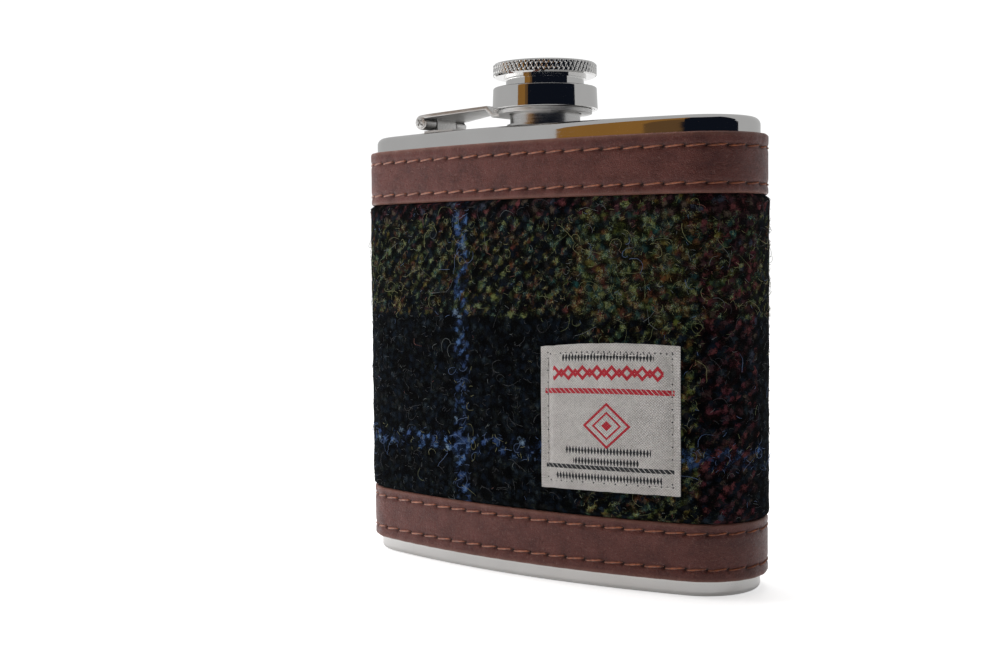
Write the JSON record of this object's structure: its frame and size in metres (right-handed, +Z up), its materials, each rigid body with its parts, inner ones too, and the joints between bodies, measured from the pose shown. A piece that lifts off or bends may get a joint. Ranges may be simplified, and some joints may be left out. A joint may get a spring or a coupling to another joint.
{
  "type": "hip flask",
  "caption": "Curved steel pocket flask with a hinged captive screw cap, a tweed sleeve, stitched leather bands and a sewn label.",
  "frame": {"origin": "on the base plate's underside, under the axis of the neck", "axes": "+Z up along the neck, -Y the bulging front with the label, +X away from the cap's hinge"},
  "size_m": [0.0974, 0.0306, 0.1067],
  "materials": {
    "polished_steel": "mirror-polished stainless steel",
    "plain_steel": "turned stainless steel",
    "tweed": "checked wool tweed, hairy",
    "brown_leather": "semi-gloss, fine grain",
    "backing_cloth": "matt",
    "rust_thread": "twisted thread",
    "white_thread": "fine thread",
    "label_weave": "woven damask",
    "seal_rubber": "smooth"
  },
  "bodies": {
    "flask": {"body_shell": "polished_steel", "base_plate": "polished_steel", "shoulder_plate": "polished_steel", "neck": "plain_steel", "hinge_bracket": "polished_steel", "hinge_pin": "plain_steel", "backing_sleeve": "backing_cloth", "tweed_sleeve": "tweed", "top_leather_band": "brown_leather", "bottom_leather_band": "brown_leather", "top_band_upper_stitches": "rust_thread", "top_band_lower_stitches": "rust_thread", "bottom_band_upper_stitches": "rust_thread", "bottom_band_lower_stitches": "rust_thread", "back_seam_stitches": "rust_thread", "woven_label": "label_weave", "label_stitches": "white_thread"},
    "arm": {"cap_arm": "polished_steel"},
    "seal": {"seal_washer": "seal_rubber"},
    "cap": {"cap_bush": "plain_steel", "cap_collar": "polished_steel", "cap_knob": "polished_steel"}
  },
  "joints": [
    {"name": "arm_swing", "type": "hinge", "parent": "flask", "child": "arm", "pos_m": [-0.0287, 0.0006, 0.0959], "axis": [0, -1, 0], "range_deg": [0, 160]},
    {"name": "cap_rise", "type": "slide", "parent": "arm", "child": "seal", "axis": [0, 0, 1], "range_m": [0, 0.0021]},
    {"name": "cap_turn", "type": "hinge", "parent": "seal", "child": "cap", "pos_m": [0, 0, 0.1], "axis": [0, 0, 1], "range_deg": [0, 500]}
  ],
  "couplings": [
    {"joint": "cap_rise", "follows": "cap_turn", "m_per_rad": 0.00023873}
  ]
}
